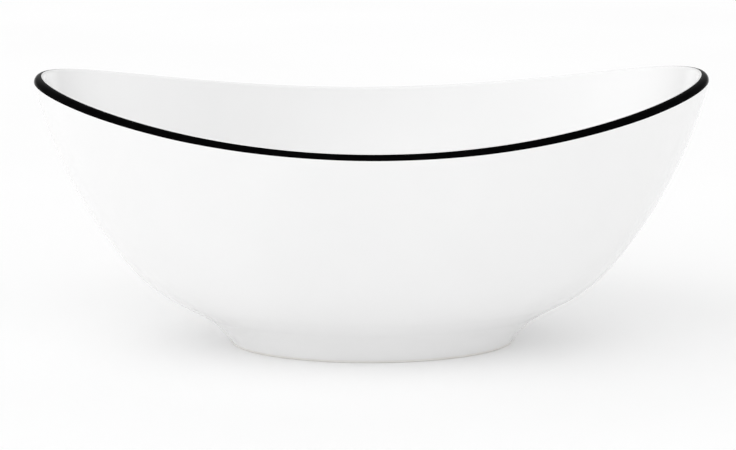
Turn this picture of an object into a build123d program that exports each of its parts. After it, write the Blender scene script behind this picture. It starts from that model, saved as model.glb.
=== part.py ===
from build123d import *
import os
from math import atan2, cos, degrees, radians, sin, tan

# Oval serving bowl in glazed porcelain, millimetres.
# X runs along the long axis, Y across, Z up; the origin is the middle of the
# oval that the foot rests on. Slopes are in degrees from level.

# Overall size, before the lip is rounded
overall_length = 332.0        # over the two raised ends of the rim
oval_ratio = 0.77             # width over length of the bowl, level by level
end_height = 135.3            # top of the rim at the raised ends
side_height = 111.4           # top of the rim at the middle of the low sides

# Outside of the wall, followed up the end of the bowl in the long-axis plane
foot_half_length = 69.4       # where the foot meets the table
foot_slope = 60.0             # flank of the foot at the table
cove_radius = 41.1            # hollow curve from the foot out to the wall
shoulder_slope = 28.4         # straight stretch above the cove
shoulder_length = 14.7
belly_radius = 73.2           # tight curve low on the wall
belly_slope = 50.7            # slope where the belly hands over to the upper wall
wall_end_slope = 80.0         # where the upper wall curve stops, above the rim

# Thickness of the ware
lip_thickness = 5.4
floor_height = 11.5           # inside floor, at the middle
recess_height = 6.5           # roof of the recess inside the foot
foot_width = 7.5              # across the foot at the table
recess_slope = 65.0           # flank of the recess
foot_edge_round = 0.8         # edges that touch the table

# Lip and its painted line
lip_outer_round = 3.1
lip_inner_round = 0.9
line_end_reach = 4.3          # how far the line reaches in from the outer face, at the ends
line_side_reach = 2.8         # and at the low sides
line_end_drop = 4.1           # how far the line reaches down from the rim, at the ends
line_side_drop = 2.9          # and at the low sides

# Fired layers
glaze = 0.4                   # coating over the clay body
bare_foot_height = 1.0        # unglazed band that stands on the table

# Construction aids
overcut = 20.0                # how far cutting shapes run past the bowl
below_table = 5.0             # how far the foot shapes run on below the table
glaze_parting_height = 9.0    # level within the clay floor, between its two glazes

half_length = overall_length / 2
half_width = half_length * oval_ratio


def slope(angle):
    """Direction in the profile plane that rises outwards at the given slope."""
    return Vector(cos(radians(angle)), sin(radians(angle)))


def into_ware(angle):
    """Direction at right angles to that slope, pointing into the ware."""
    return Vector(-sin(radians(angle)), cos(radians(angle)))


def lower_outline(depth):
    """Cove, shoulder and belly of the outer face, set back into the ware by depth."""
    foot_edge = Vector(foot_half_length, 0) + into_ware(foot_slope) * depth
    cove_turn = shoulder_slope - foot_slope
    cove = JernArc(foot_edge, slope(foot_slope), cove_radius + depth, cove_turn)
    shoulder = Line(cove @ 1, cove @ 1 + slope(shoulder_slope) * shoulder_length)
    belly_turn = belly_slope - shoulder_slope
    belly = JernArc(shoulder @ 1, slope(shoulder_slope), belly_radius - depth, belly_turn)
    return [cove, shoulder, belly]


def upper_wall_radius():
    """Radius of the arc that leaves the belly smoothly and reaches the end of the rim."""
    belly_end = lower_outline(0)[-1] @ 1
    to_rim = Vector(half_length, end_height) - belly_end
    return to_rim.length ** 2 / (2 * to_rim.dot(into_ware(belly_slope)))


def upper_wall(start, depth):
    """Upper wall from the belly to a little above the rim."""
    return JernArc(start, slope(belly_slope), upper_wall_radius() - depth, wall_end_slope - belly_slope)


def turned_oval(outline, half_length_here, half_width_here):
    """Solid between an outline that starts on the axis and that axis, squeezed to an oval."""
    start = outline[0] @ 0
    end = outline[-1] @ 1
    closing = Polyline(end, (0, end.Y), start)
    section = make_face(Curve() + outline + [closing])
    turned = revolve(Plane.XZ * section, Axis.Z)
    return scale(turned, by=(1, half_width_here / half_length_here, 1))


def outside_form(depth, side_depth):
    """Everything inside the outer face, run on below the table and above the rim.

    The face is set back by depth at the ends and by side_depth at the sides.
    """
    lower = lower_outline(depth)
    foot_edge = lower[0] @ 0
    base_edge = foot_edge - slope(foot_slope) * below_table
    base = Polyline((0, base_edge.Y), base_edge, foot_edge)
    outline = [base] + lower + [upper_wall(lower[-1] @ 1, depth)]
    return turned_oval(outline, half_length - depth, half_width - side_depth)


def cavity(depth):
    """Space inside the bowl: a dished floor running smoothly into belly and wall.

    The wall lies at depth behind the outer face, and the floor moves with it.
    """
    floor = floor_height - lip_thickness + depth
    shoulder = lower_outline(0)[1]
    belly_middle = shoulder @ 1 + into_ware(shoulder_slope) * belly_radius
    belly_inside = belly_radius - depth
    rise = belly_middle.Y - floor
    floor_radius = (belly_middle.X ** 2 + rise ** 2 - belly_inside ** 2) / (2 * (rise - belly_inside))
    meeting_slope = degrees(atan2(belly_middle.X, floor_radius - rise))
    dish = JernArc((0, floor), (1, 0), floor_radius, meeting_slope)
    belly = JernArc(dish @ 1, slope(meeting_slope), belly_inside, belly_slope - meeting_slope)
    outline = [dish, belly, upper_wall(belly @ 1, depth)]
    return turned_oval(outline, half_length - depth, half_width - depth)


def foot_recess(growth):
    """Hollow inside the foot, grown by the thickness of a coating."""
    reach = foot_half_length - foot_width + growth
    side_reach = foot_half_length * oval_ratio - foot_width + growth
    roof = recess_height + growth
    lean = 1 / tan(radians(recess_slope))
    mouth_edge = (reach + below_table * lean, -below_table)
    roof_edge = (reach - roof * lean, roof)
    outline = [Polyline((0, -below_table), mouth_edge, roof_edge)]
    return turned_oval(outline, reach, side_reach)


def rim_height(x):
    """Height of the saddle-shaped rim over a point of the long axis."""
    return side_height + (end_height - side_height) * (x / half_length) ** 2


def above_rim(end_drop, side_drop):
    """Block over the saddle-shaped rim, lowered by end_drop at the ends and side_drop at the sides."""
    reach = half_length + overcut
    side_reach = half_width + overcut
    growth = (end_drop - side_drop) * (reach / half_length) ** 2
    end_level = rim_height(reach) - side_drop - growth
    side_level = side_height - side_drop
    top = end_level + overcut
    sag = Bezier((-reach, end_level), (0, 2 * side_level - end_level), (reach, end_level))
    frame = Polyline((reach, end_level), (reach, top), (-reach, top), (-reach, end_level))
    section = Plane.XZ.offset(-side_reach) * make_face(Curve() + [sag, frame])
    return extrude(section, 2 * side_reach)


def slab(bottom, top):
    """Level slice of space, wider than the bowl."""
    spread = overall_length + overcut
    return Pos(0, 0, bottom) * Box(spread, spread, top - bottom, align=(Align.CENTER, Align.CENTER, Align.MIN))


def rim_edges(bowl, drop):
    """Inner and outer edge of the freshly cut rim, in that order."""
    def on_rim(edge):
        point = edge @ 0.3
        return abs(point.Z - rim_height(point.X) + drop) < 0.01
    return sorted(filter(on_rim, bowl.edges()), key=lambda edge: edge.length)


def bowl_form(depth):
    """The whole bowl with a rounded lip, every face set back by depth."""
    bowl = outside_form(depth, depth) - cavity(lip_thickness - depth) - above_rim(depth, depth)
    bowl = bowl - foot_recess(depth)
    bowl = fillet(rim_edges(bowl, depth)[-1], lip_outer_round - depth)
    return fillet(rim_edges(bowl, depth)[0], lip_inner_round - depth)


def foot_ring(finished, clay):
    """Clay ring under the floor: coated flanks, bare band and flat face on the table."""
    coated = clay & slab(bare_foot_height, recess_height + glaze)
    bare = finished & slab(0, bare_foot_height)
    table_edges = bare.edges().group_by(Axis.Z)[0]
    return coated + fillet(table_edges, foot_edge_round)


def porcelain_body(clay):
    """Clay wall and floor, resting on the foot ring."""
    return clay & slab(recess_height + glaze, end_height)


def coatings(finished, clay):
    """Fired coatings by name, each one cut from the thin shell around the clay."""
    shell = (finished & slab(bare_foot_height, end_height)) - clay
    within_line = outside_form(line_end_reach, line_side_reach)
    inner_side = within_line & slab(glaze_parting_height, end_height + overcut)
    inner_glaze = shell & inner_side
    outer_side = shell - inner_side
    line_zone = above_rim(line_end_drop, line_side_drop)
    rim_line = outer_side & line_zone
    base_glaze, outer_glaze = (outer_side - line_zone).solids().sort_by(SortBy.AREA)
    return {
        "inner_glaze": inner_glaze,
        "outer_glaze": outer_glaze,
        "base_glaze": base_glaze,
        "rim_line": rim_line,
    }


os.makedirs("parts", exist_ok=True)

finished_bowl = bowl_form(0)
clay_bowl = bowl_form(glaze)

pieces = coatings(finished_bowl, clay_bowl)
pieces["porcelain_body"] = porcelain_body(clay_bowl)
pieces["foot_ring"] = foot_ring(finished_bowl, clay_bowl)

for name, piece in pieces.items():
    piece.label = name
    export_step(piece, f"parts/{name}.step")
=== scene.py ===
import math

import bpy
import numpy as np
from mathutils import Matrix, Vector


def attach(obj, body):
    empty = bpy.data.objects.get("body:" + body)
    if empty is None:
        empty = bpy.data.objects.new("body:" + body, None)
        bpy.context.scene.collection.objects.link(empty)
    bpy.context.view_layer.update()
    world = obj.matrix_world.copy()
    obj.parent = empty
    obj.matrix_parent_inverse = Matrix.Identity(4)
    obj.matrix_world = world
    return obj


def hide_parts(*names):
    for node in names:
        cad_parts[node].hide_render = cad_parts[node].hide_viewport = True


# Oval serving bowl in glazed porcelain. The form is worked out in millimetres,
# in the frame of the CAD model, and turned into metres when a mesh is made.

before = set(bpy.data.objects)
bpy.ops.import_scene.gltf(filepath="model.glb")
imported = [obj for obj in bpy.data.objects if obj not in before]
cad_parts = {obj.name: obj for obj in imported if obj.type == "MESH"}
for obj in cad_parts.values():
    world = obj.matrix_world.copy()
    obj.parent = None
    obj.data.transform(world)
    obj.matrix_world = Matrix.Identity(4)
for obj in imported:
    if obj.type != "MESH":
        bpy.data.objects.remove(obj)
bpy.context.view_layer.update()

MM = 0.001

# The bowl's form, with the dimensions of the CAD part. Slopes are in degrees.
HALF_LENGTH = 166.0           # to the sharp rim at the raised ends
OVAL_RATIO = 0.77
HALF_WIDTH = HALF_LENGTH * OVAL_RATIO
END_HEIGHT = 135.3
SIDE_HEIGHT = 111.4
FOOT_HALF_LENGTH = 69.4
FOOT_SLOPE = 60.0
COVE_RADIUS = 41.1
SHOULDER_SLOPE = 28.4
SHOULDER_LENGTH = 14.7
BELLY_RADIUS = 73.2
BELLY_SLOPE = 50.7
WALL_END_SLOPE = 80.0
LIP_THICKNESS = 5.4
FLOOR_HEIGHT = 11.5
RECESS_HEIGHT = 6.5
FOOT_WIDTH = 7.5
RECESS_SLOPE = 65.0
FOOT_EDGE_ROUND = 0.8
LIP_OUTER_ROUND = 3.1
LIP_INNER_ROUND = 0.9
LINE_END_REACH = 4.3          # painted line, inwards over the lip, at the ends and at the sides
LINE_SIDE_REACH = 2.8
LINE_END_DROP = 4.1           # painted line, down the outer face, at the ends and at the sides
LINE_SIDE_DROP = 2.9
GLAZE = 0.4
BARE_FOOT_HEIGHT = 1.0

# Details that the CAD part leaves out
RECESS_ROUND = 1.2            # glaze pooled in the corner of the recess
LINE_WANDER = 0.12            # drift of the hand-banded line

# Mesh rows up the profile for working out the skin, and then for each coat of it
WALL_OUT_ROWS, WALL_IN_ROWS = 300, 400
OUTER_ROUND_ROWS, LIP_FLAT_ROWS, INNER_ROUND_ROWS = 61, 6, 25
OUTSIDE_ROWS, LINE_ROWS, LIP_GLAZE_ROWS, INSIDE_ROWS = 120, 36, 24, 120
AROUND = 288                  # mesh columns around the bowl
THETA = np.linspace(0, 2 * math.pi, AROUND, endpoint=False)
COS, SIN = np.cos(THETA), np.sin(THETA)


# ------------------------------------------------------------- profiles

def slope(angle):
    return np.array([math.cos(math.radians(angle)), math.sin(math.radians(angle))])


def into_ware(angle):
    return np.array([-math.sin(math.radians(angle)), math.cos(math.radians(angle))])


def arc(start, slope_from, slope_to, radius, steps=200):
    """Points of an arc between two slopes; it turns right if the slope falls."""
    side = 1.0 if slope_to > slope_from else -1.0
    centre = start + side * radius * into_ware(slope_from)
    return [centre - side * radius * into_ware(a) for a in np.linspace(slope_from, slope_to, steps)]


def wall_profiles():
    """Half-length and height along the outer face and along the inner face."""
    cove = arc(np.array([FOOT_HALF_LENGTH, 0.0]), FOOT_SLOPE, SHOULDER_SLOPE, COVE_RADIUS)
    shoulder_end = cove[-1] + SHOULDER_LENGTH * slope(SHOULDER_SLOPE)
    belly = arc(shoulder_end, SHOULDER_SLOPE, BELLY_SLOPE, BELLY_RADIUS)
    to_rim = np.array([HALF_LENGTH, END_HEIGHT]) - belly[-1]
    upper_radius = to_rim @ to_rim / (2 * to_rim @ into_ware(BELLY_SLOPE))
    upper = arc(belly[-1], BELLY_SLOPE, WALL_END_SLOPE, upper_radius, 600)

    belly_middle = shoulder_end + BELLY_RADIUS * into_ware(SHOULDER_SLOPE)
    belly_inside = BELLY_RADIUS - LIP_THICKNESS
    rise = belly_middle[1] - FLOOR_HEIGHT
    floor_radius = (belly_middle[0] ** 2 + rise ** 2 - belly_inside ** 2) / (2 * (rise - belly_inside))
    meeting = math.degrees(math.atan2(belly_middle[0], floor_radius - rise))
    dish = arc(np.array([0.0, FLOOR_HEIGHT]), 0.0, meeting, floor_radius)
    inner_belly = arc(dish[-1], meeting, BELLY_SLOPE, belly_inside)
    inner_upper = arc(inner_belly[-1], BELLY_SLOPE, WALL_END_SLOPE, upper_radius - LIP_THICKNESS, 600)
    return np.array(cove + belly + upper[1:]), np.array(dish + inner_belly[1:] + inner_upper[1:])


def recess_profile():
    """Half-length and height along the flank of the hollow inside the foot."""
    z = np.array([-1.0, RECESS_HEIGHT + 1.0])
    return np.stack([FOOT_HALF_LENGTH - FOOT_WIDTH - z / math.tan(math.radians(RECESS_SLOPE)), z], -1)


def between(first, last, count):
    """Rows of values from one row to another, both included."""
    first, last = np.broadcast_arrays(first, last)
    t = np.linspace(0.0, 1.0, count).reshape(-1, *[1] * first.ndim)
    return first * (1 - t) + last * t


def saddle(x):
    """Height of the rim over a place on the long axis."""
    return SIDE_HEIGHT + (END_HEIGHT - SIDE_HEIGHT) * (x / HALF_LENGTH) ** 2


def unit(v):
    return v / np.maximum(np.linalg.norm(v, axis=-1, keepdims=True), 1e-12)


class Face:
    """One face of the ware: a profile turned and squeezed to an oval."""

    def __init__(self, profile, ratio):
        self.half_length, self.height = profile[:, 0], profile[:, 1]
        steps = np.linalg.norm(np.diff(profile, axis=0), axis=1)
        self.run = np.concatenate([[0.0], np.cumsum(steps)])
        self.ratio = ratio
        self.squeeze = ratio / np.hypot(ratio * COS, SIN)
        self.normal = unit(np.stack([ratio * COS, SIN], -1))

    def reach(self, z):
        return np.interp(z, self.height, self.half_length)

    def at_height(self, z):
        a = self.reach(z) + 0 * THETA
        return np.stack([a * COS, self.ratio * a * SIN, z + 0 * a], axis=-1)

    def at_saddle(self):
        """Height at which each column meets the saddle of the rim, found by stepping closer."""
        z = np.full(AROUND, SIDE_HEIGHT)
        for _ in range(30):
            z = saddle(self.reach(z) * COS)
        return z

    def lean(self, z):
        """How far the face moves outwards, square to the oval, per millimetre of height."""
        return (self.reach(z + 0.5) - self.reach(z - 0.5)) * self.squeeze

    def rows(self, z_from, z_to, count):
        """Rows of points evenly spaced along the profile."""
        first = np.interp(z_from, self.height, self.run)
        last = np.interp(z_to, self.height, self.run)
        s = between(first, last, count) + 0 * THETA
        a = np.interp(s, self.run, self.half_length)
        return np.stack([a * COS, self.ratio * a * SIN, np.interp(s, self.run, self.height)], axis=-1)


OUTER_PROFILE, INNER_PROFILE = wall_profiles()
outside = Face(OUTER_PROFILE, OVAL_RATIO)
inside = Face(INNER_PROFILE, (HALF_WIDTH - LIP_THICKNESS) / (HALF_LENGTH - LIP_THICKNESS))
recess_half_width = FOOT_HALF_LENGTH * OVAL_RATIO - FOOT_WIDTH
recess_flank = Face(recess_profile(), recess_half_width / (FOOT_HALF_LENGTH - FOOT_WIDTH))


# ------------------------------------------------------------- rounded edges

def direction(out, up):
    """Direction per column in the plane that stands square to the oval."""
    return unit(np.stack([out + 0 * THETA, up + 0 * THETA], -1))


def rounded_corner(corner, along_a, along_b, radius, count):
    """Arc per column that rounds a corner in the (out, up) plane, from side a to side b."""
    half = np.arccos((along_a * along_b).sum(-1)) / 2
    centre = corner + unit(along_a + along_b) * (radius / np.sin(half))[:, None]
    reach = (radius / np.tan(half))[:, None]
    start = corner + along_a * reach - centre
    end = corner + along_b * reach - centre
    turn = (math.pi - 2 * half)[None, :, None]
    t = np.linspace(0, 1, count)[:, None, None]
    return centre + (np.sin((1 - t) * turn) * start + np.sin(t * turn) * end) / np.sin(turn)


def rounded_edge(edge, out, along_a, along_b, radius, count):
    """The same arc as points in space, around an edge of the ware."""
    curve = rounded_corner(np.zeros((AROUND, 2)), along_a, along_b, radius, count)
    points = np.repeat(edge[None], count, axis=0)
    points[..., :2] += curve[..., :1] * out
    points[..., 2] += curve[..., 1]
    return points


def rounded_lip():
    """Lip from the outer face to the inner face."""
    z_out, z_in = outside.at_saddle(), inside.at_saddle()
    lean_out, lean_in = outside.lean(z_out - 2.0), inside.lean(z_in - 1.0)
    along_rim = 2 * (END_HEIGHT - SIDE_HEIGHT) * outside.reach(z_out) * COS / HALF_LENGTH ** 2
    inwards = direction(-1.0, -along_rim * outside.normal[:, 0])
    across = (outside.at_height(z_out) - inside.at_height(z_in))[:, :2]
    width = (across * outside.normal).sum(-1)

    outer_round = rounded_corner(np.stack([0 * z_out, z_out], -1), direction(-lean_out, -1.0), inwards,
                                 LIP_OUTER_ROUND, OUTER_ROUND_ROWS)
    inner_round = rounded_corner(np.stack([-width, z_in], -1), -inwards, direction(-lean_in, -1.0),
                                 LIP_INNER_ROUND, INNER_ROUND_ROWS)
    flat = between(outer_round[-1], inner_round[0], LIP_FLAT_ROWS)[1:-1]
    section = np.concatenate([outer_round, flat, inner_round])
    out, z = section[..., 0], section[..., 1]
    outer_face = lean_out * (z - z_out)
    inner_face = lean_in * (z - z_in) - width
    share = ((outer_face - out) / (outer_face - inner_face))[..., None]
    return outside.at_height(z) * (1 - share) + inside.at_height(z) * share


# ------------------------------------------------------------- meshes

class Skin:
    """A surface of the ware: points along every column, their normals and the way covered."""

    def __init__(self, rows):
        around = np.roll(rows, -1, axis=1) - np.roll(rows, 1, axis=1)
        normals = unit(np.cross(around, np.gradient(rows, axis=0)))
        self.rows = np.concatenate([rows, normals], axis=-1)
        steps = np.linalg.norm(np.diff(rows, axis=0), axis=-1)
        self.run = np.concatenate([np.zeros((1, AROUND)), np.cumsum(steps, axis=0)])

    def where(self, key, value):
        """Way along each column at which a rising key reaches a value."""
        return np.array([np.interp(value, key[:, c], self.run[:, c]) for c in range(AROUND)])

    def part(self, first, last, count):
        """Evenly spaced rows from one way along to another."""
        run = between(first, last, count)
        rows = np.empty((count, AROUND, 6))
        for c in range(AROUND):
            for k in range(6):
                rows[:, c, k] = np.interp(run[:, c], self.run[:, c], self.rows[:, c, k])
        return rows


def behind(rows):
    """The far side of a coat: set back by its thickness, and facing the other way."""
    return np.concatenate([rows[..., :3] - GLAZE * rows[..., 3:], -rows[..., 3:]], axis=-1)


def on_axis(height, up):
    return np.array([[0.0, 0.0, height, 0.0, 0.0, up]])


def band_faces(row_count):
    first = np.arange(AROUND)
    second = (first + 1) % AROUND
    quads = np.stack([first, second, second + AROUND, first + AROUND], -1)
    return [tuple(q) for r in range(row_count - 1) for q in (quads + r * AROUND).tolist()]


def make_object(name, vertices, faces):
    """Object from vertices that hold a point in millimetres and a normal each."""
    mesh = bpy.data.meshes.new(name)
    mesh.from_pydata((vertices[:, :3] * MM).tolist(), [], faces)
    mesh.polygons.foreach_set("use_smooth", [True] * len(mesh.polygons))
    mesh.update()
    mesh.normals_split_custom_set_from_vertices(unit(vertices[:, 3:]).tolist())
    obj = bpy.data.objects.new(name, mesh)
    bpy.context.scene.collection.objects.link(obj)
    return obj


def closed_ring(name, rows):
    """Ring whose rows run once round its section."""
    last = (len(rows) - 1) * AROUND
    closing = [(last + c, last + (c + 1) % AROUND, (c + 1) % AROUND, c) for c in range(AROUND)]
    return make_object(name, rows.reshape(-1, 6), band_faces(len(rows)) + closing)


def coat_band(name, rows):
    """Coat with two edges: its visible skin and its far side."""
    return closed_ring(name, np.concatenate([rows, behind(rows)[::-1]]))


def coat_dish(name, rows, middle):
    """Coat that closes over the axis; its visible rows run from the edge to the middle."""
    both = np.concatenate([behind(rows)[::-1], rows])
    vertices = np.concatenate([both.reshape(-1, 6), middle, behind(middle)])
    last = (len(both) - 1) * AROUND
    near, far = len(vertices) - 2, len(vertices) - 1
    fans = []
    for c in range(AROUND):
        n = (c + 1) % AROUND
        fans += [(last + c, last + n, near), (n, c, far)]
    return make_object(name, vertices, band_faces(len(both)) + fans)


def hand_drift(seed):
    """Slow wander, round the rim, of a line banded by hand."""
    rng = np.random.default_rng(seed)
    drift = sum(rng.uniform(0.4, 1.0) / k * np.sin(k * THETA + rng.uniform(0, 2 * math.pi))
                for k in (3, 5, 8, 13, 21, 34))
    return LINE_WANDER * drift / np.abs(drift).max()


def above_line_start(points):
    """Height over the saddle of the rim, lowered to where the painted line starts."""
    drop = LINE_SIDE_DROP + (LINE_END_DROP - LINE_SIDE_DROP) * (points[..., 0] / HALF_LENGTH) ** 2
    return np.maximum.accumulate(points[..., 2] - saddle(points[..., 0]) + drop, axis=0)


def inwards_of_line_end(points):
    """Level distance, along the long axis, inside an outer form set in to where the line ends."""
    along = unit(np.gradient(OUTER_PROFILE, axis=0))
    set_in = OUTER_PROFILE + LINE_END_REACH * np.stack([-along[:, 1], along[:, 0]], -1)
    form = Face(set_in, (HALF_WIDTH - LINE_SIDE_REACH) / (HALF_LENGTH - LINE_END_REACH))
    level = np.hypot(points[..., 0], points[..., 1] / form.ratio)
    return np.maximum.accumulate(form.reach(points[..., 2]) - level, axis=0)


# The bowl's skin, from the bare foot up the outside, over the lip and down to the floor
lip_points = rounded_lip()
just_over_floor = FLOOR_HEIGHT + 0.02
wall_out = outside.rows(BARE_FOOT_HEIGHT, lip_points[0, :, 2], WALL_OUT_ROWS)
wall_in = inside.rows(lip_points[-1, :, 2], just_over_floor, WALL_IN_ROWS)
bowl_points = np.concatenate([wall_out[:-1], lip_points, wall_in[1:]])
bowl = Skin(bowl_points)

line_start = bowl.where(above_line_start(bowl_points), 0.0) + hand_drift(3)
line_end = bowl.where(inwards_of_line_end(bowl_points), 0.0) + hand_drift(4)
past_lip = bowl.run[len(wall_out) + len(lip_points) - 2] + 1.0

glaze_outside = coat_band("glaze_outside", bowl.part(bowl.run[0], line_start, OUTSIDE_ROWS))
painted_line = coat_band("painted_rim_line", bowl.part(line_start, line_end, LINE_ROWS))
inside_rows = np.concatenate([bowl.part(line_end, past_lip, LIP_GLAZE_ROWS)[:-1],
                              bowl.part(past_lip, bowl.run[-1], INSIDE_ROWS)])
glaze_inside = coat_dish("glaze_inside", inside_rows, on_axis(FLOOR_HEIGHT, 1.0))

# Under the foot. Columns run the other way round, so that these skins face down.
roof_corner = rounded_edge(recess_flank.at_height(RECESS_HEIGHT), recess_flank.normal,
                           direction(-recess_flank.lean(RECESS_HEIGHT), -1.0), direction(-1.0, 0.0),
                           RECESS_ROUND, 12)
flank = recess_flank.rows(BARE_FOOT_HEIGHT, roof_corner[0, :, 2], 10)
roof = np.stack([roof_corner[-1] * (s, s, 1.0) for s in np.linspace(1.0, 0.04, 30)[1:]])
recess = Skin(np.concatenate([flank[:-1], roof_corner, roof])[:, ::-1])
glaze_under = coat_dish("glaze_under_foot", recess.rows, on_axis(RECESS_HEIGHT, -1.0))


def clay_behind(face, z, side):
    """Clay face behind a coat at one height; side is 1 where the ware lies inwards of the face."""
    points = face.at_height(z)
    points[:, :2] -= side * GLAZE * np.hypot(1.0, face.lean(z))[:, None] * face.normal
    return points


outer_edge = rounded_edge(outside.at_height(0.0), outside.normal, direction(outside.lean(0.5), 1.0),
                          direction(-1.0, 0.0), FOOT_EDGE_ROUND, 8)
inner_edge = rounded_edge(recess_flank.at_height(0.0), recess_flank.normal,
                          direction(recess_flank.lean(0.5), 1.0), direction(1.0, 0.0), FOOT_EDGE_ROUND, 8)
sole = between(outer_edge[-1], inner_edge[-1], 7)[1:-1]
bare = Skin(np.concatenate([outside.at_height(BARE_FOOT_HEIGHT)[None], outer_edge, sole, inner_edge[::-1],
                            recess_flank.at_height(BARE_FOOT_HEIGHT)[None]])[:, ::-1])
ring_top = RECESS_HEIGHT + GLAZE
buried = Skin(np.stack([clay_behind(recess_flank, BARE_FOOT_HEIGHT, -1),
                        clay_behind(recess_flank, ring_top, -1),
                        clay_behind(outside, ring_top, 1),
                        clay_behind(outside, BARE_FOOT_HEIGHT, 1)])[:, ::-1])
standing_foot = closed_ring("standing_foot", np.concatenate([bare.rows, buried.rows]))


# ------------------------------------------------------------- materials

class Finish:
    """Procedural material around one Principled shader, laid out in object space."""

    def __init__(self, name, **sockets):
        self.material = bpy.data.materials.new(name)
        self.material.use_nodes = True
        self.tree = self.material.node_tree
        self.shader = self.tree.nodes["Principled BSDF"]
        for socket, value in sockets.items():
            self.shader.inputs[socket.replace("_", " ")].default_value = value
        self.place = self.node("ShaderNodeTexCoord").outputs["Object"]

    def node(self, kind, settings=(), **inputs):
        made = self.tree.nodes.new(kind)
        for key, value in dict(settings).items():
            setattr(made, key, value)
        for socket, value in inputs.items():
            self.feed(made.inputs[socket.replace("_", " ")], value)
        return made

    def feed(self, socket, value):
        if isinstance(value, bpy.types.NodeSocket):
            self.tree.links.new(value, socket)
        else:
            socket.default_value = value

    def noise(self, size, detail=2.0, stretch=None):
        """Noise of a typical feature size in millimetres."""
        place = self.place
        if stretch:
            place = self.node("ShaderNodeMapping", Vector=place, Scale=stretch).outputs["Vector"]
        scale = 1.0 / (size * MM)
        return self.node("ShaderNodeTexNoise", Vector=place, Scale=scale, Detail=detail).outputs[0]

    def spread(self, value, low, high, start=0.3, end=0.7):
        """Value stretched from start..end to low..high, and held there beyond."""
        return self.node("ShaderNodeMapRange", Value=value, From_Min=start, From_Max=end,
                         To_Min=low, To_Max=high).outputs["Result"]

    def blend(self, amount, first, second):
        """Colour from the first to the second; a colour is three numbers or a socket."""
        mix = self.node("ShaderNodeMix", {"data_type": "RGBA"})
        self.feed(mix.inputs[0], amount)
        self.feed(mix.inputs[6], (*first, 1.0) if isinstance(first, tuple) else first)
        self.feed(mix.inputs[7], (*second, 1.0) if isinstance(second, tuple) else second)
        return mix.outputs[2]

    def relief(self, height, depth, under=None):
        """Bump of a depth in millimetres, on top of a coarser one."""
        bump = self.node("ShaderNodeBump", Height=height, Distance=depth * MM, Strength=1.0)
        if under:
            self.feed(bump.inputs["Normal"], under)
        return bump.outputs["Normal"]

    def finish(self, **links):
        for socket, value in links.items():
            self.feed(self.shader.inputs[socket.replace("_", " ")], value)
        return self.material


def white_glaze():
    f = Finish("white_glaze", IOR=1.5)
    drift = f.blend(f.spread(f.noise(90.0, 3.0), 0.0, 1.0), (0.868, 0.868, 0.868), (0.892, 0.892, 0.892))
    height = f.node("ShaderNodeSeparateXYZ", Vector=f.place).outputs["Z"]
    thin = f.spread(height, 1.0, 0.0, BARE_FOOT_HEIGHT * MM, (BARE_FOOT_HEIGHT + 0.5) * MM)
    colour = f.blend(thin, drift, (0.80, 0.785, 0.76))
    ripple = f.relief(f.noise(28.0, 1.0), 0.012)
    peel = f.relief(f.noise(2.2, 2.0), 0.0012, ripple)
    return f.finish(Base_Color=colour, Roughness=f.spread(f.noise(16.0), 0.07, 0.13), Normal=peel)


def black_enamel():
    f = Finish("black_enamel", IOR=1.03)
    strokes = f.noise(7.0, 3.0, stretch=(1.0, 1.0, 4.0))
    colour = f.blend(f.spread(strokes, 0.0, 1.0), (0.0008, 0.0008, 0.0009), (0.0024, 0.0023, 0.0025))
    peel = f.relief(f.noise(1.1, 2.0), 0.001, f.relief(f.noise(9.0, 1.0), 0.004))
    return f.finish(Base_Color=colour, Roughness=f.spread(f.noise(5.0), 0.10, 0.16), Normal=peel)


def bisque():
    f = Finish("bare_porcelain", Specular_IOR_Level=0.35)
    tone = f.blend(f.spread(f.noise(5.0, 4.0), 0.0, 1.0), (0.80, 0.782, 0.75), (0.86, 0.848, 0.825))
    grain = f.relief(f.noise(0.35, 3.0), 0.015, f.relief(f.noise(2.5, 2.0), 0.02))
    return f.finish(Base_Color=tone, Roughness=f.spread(f.noise(1.2), 0.62, 0.8), Normal=grain)


glaze_look, enamel_look, clay_look = white_glaze(), black_enamel(), bisque()
for piece, look, slot_name, node in (
        (glaze_outside, glaze_look, "white_glaze", "outer_glaze"),
        (glaze_inside, glaze_look, "white_glaze", "inner_glaze"),
        (glaze_under, glaze_look, "white_glaze", "base_glaze"),
        (painted_line, enamel_look, "black_enamel", "rim_line"),
        (standing_foot, clay_look, "porcelain", "foot_ring")):
    piece.data.materials.append(look)
    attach(piece, "root")
    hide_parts(node)

for material_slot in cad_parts["porcelain_body"].material_slots:
    material_slot.material = clay_look


# ------------------------------------------------------------- floor and lights

FLOOR_REACH = 6.0             # metres from the bowl to each edge of the floor
FLOOR_CORNERS = ((-1, -1), (1, -1), (1, 1), (-1, 1))

floor_mesh = bpy.data.meshes.new("floor")
floor_mesh.from_pydata([(x * FLOOR_REACH, y * FLOOR_REACH, 0) for x, y in FLOOR_CORNERS], [], [(0, 1, 2, 3)])
floor = bpy.data.objects.new("floor", floor_mesh)
bpy.context.scene.collection.objects.link(floor)
floor_look = Finish("pale_floor", Specular_IOR_Level=0.2, Roughness=0.9,
                    Emission_Color=(1.0, 1.0, 1.0, 1.0), Emission_Strength=0.08)
floor_drift = floor_look.spread(floor_look.noise(400.0), 0.0, 1.0)
floor_colour = floor_look.blend(floor_drift, (0.86, 0.86, 0.86), (0.88, 0.88, 0.88))
floor.data.materials.append(floor_look.finish(Base_Color=floor_colour))


def towards(azimuth, elevation):
    """Direction from the bowl, at an azimuth from the front towards +X and an elevation."""
    a, e = math.radians(azimuth), math.radians(elevation)
    return Vector((math.sin(a) * math.cos(e), -math.cos(a) * math.cos(e), math.sin(e)))


def facing(back):
    """Turn of an object that looks along its own -Z, away from back."""
    right = Vector((0, 0, 1)).cross(back).normalized()
    return Matrix((right, back.cross(right), back)).transposed().to_4x4()


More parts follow.
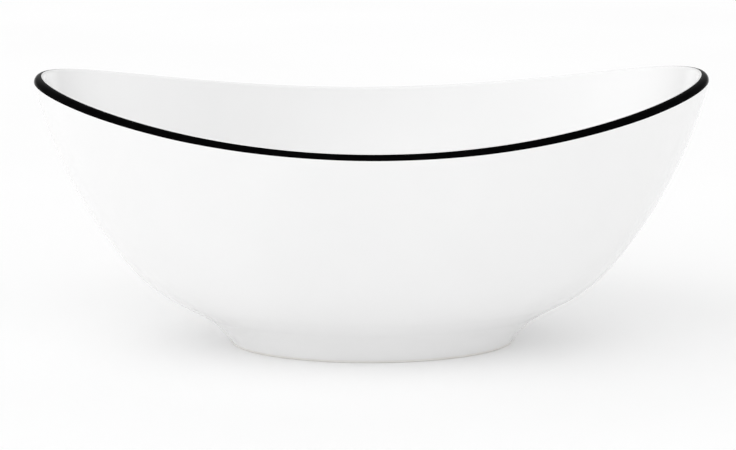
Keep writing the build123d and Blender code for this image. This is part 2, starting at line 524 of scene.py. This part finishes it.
# Soft lights of a white studio, each a smooth glow around one direction of the sky.
# Each has its azimuth from the front towards +X, its elevation and its strength.
GLOWS = (
    (0.0, 42.0, 1.50),
    (-90.0, 8.0, 1.85),
    (90.0, 8.0, 1.65),
    (180.0, 42.0, 1.30),
    (-45.0, 42.0, 0.52),
)
GLOW_FOCUS = 5.0              # how quickly a glow fades away from its direction
HAZE_DEPTH = 0.09             # sine of the elevation where the horizon's pale band has mostly faded


def studio_sky():
    """World whose strength is the sum of the glows, and no less than the haze."""
    world = bpy.data.worlds.new("studio")
    world.use_nodes = True
    tree = world.node_tree
    way = tree.nodes.new("ShaderNodeTexCoord").outputs["Generated"]

    def worked_out(kind, operation, *values):
        """Result of a maths node whose inputs are sockets, numbers or directions."""
        node = tree.nodes.new(kind)
        node.operation = operation
        for socket, value in zip(node.inputs, values):
            if isinstance(value, bpy.types.NodeSocket):
                tree.links.new(value, socket)
            else:
                socket.default_value = value
        return node.outputs["Value"]

    glows = []
    for azimuth, elevation, strength in GLOWS:
        nearness = worked_out("ShaderNodeVectorMath", "DOT_PRODUCT", way, towards(azimuth, elevation))
        power = worked_out("ShaderNodeMath", "MULTIPLY_ADD", nearness, GLOW_FOCUS,
                           math.log(strength) - GLOW_FOCUS)
        glows.append(worked_out("ShaderNodeMath", "EXPONENT", power))
    total = glows[0]
    for glow in glows[1:]:
        total = worked_out("ShaderNodeMath", "ADD", total, glow)

    split = tree.nodes.new("ShaderNodeSeparateXYZ")
    tree.links.new(way, split.inputs[0])
    up = split.outputs["Z"]
    squared = worked_out("ShaderNodeMath", "MULTIPLY", up, up)
    power = worked_out("ShaderNodeMath", "MULTIPLY", squared, -1 / HAZE_DEPTH ** 2)
    haze = worked_out("ShaderNodeMath", "EXPONENT", power)

    background = tree.nodes["Background"]
    background.inputs["Color"].default_value = (1.0, 1.0, 1.0, 1.0)
    tree.links.new(worked_out("ShaderNodeMath", "MAXIMUM", total, haze), background.inputs["Strength"])
    return world


bpy.context.scene.world = studio_sky()
bpy.context.scene.view_settings.view_transform = "Standard"


# ------------------------------------------------------------- camera

CAMERA_DISTANCE = 1.5045      # metres; the camera's angles are in degrees
CAMERA_AZIMUTH = -1.47
CAMERA_ELEVATION = 9.93
CAMERA_ROLL = 0.10
CAMERA_AIM = Vector((-2.0, 0.0, 58.0)) * MM
LENS_LENGTH = 148.9           # millimetres, as the sensor's width is
SENSOR_WIDTH = 36.0

back = towards(CAMERA_AZIMUTH, CAMERA_ELEVATION)
turn = facing(back)
lens = bpy.data.cameras.new("camera")
lens.sensor_width = SENSOR_WIDTH
lens.lens = LENS_LENGTH
camera = bpy.data.objects.new("camera", lens)
bpy.context.scene.collection.objects.link(camera)
roll = Matrix.Rotation(math.radians(-CAMERA_ROLL), 4, "Z")
camera.matrix_world = Matrix.Translation(CAMERA_AIM + back * CAMERA_DISTANCE) @ turn @ roll
bpy.context.scene.camera = camera
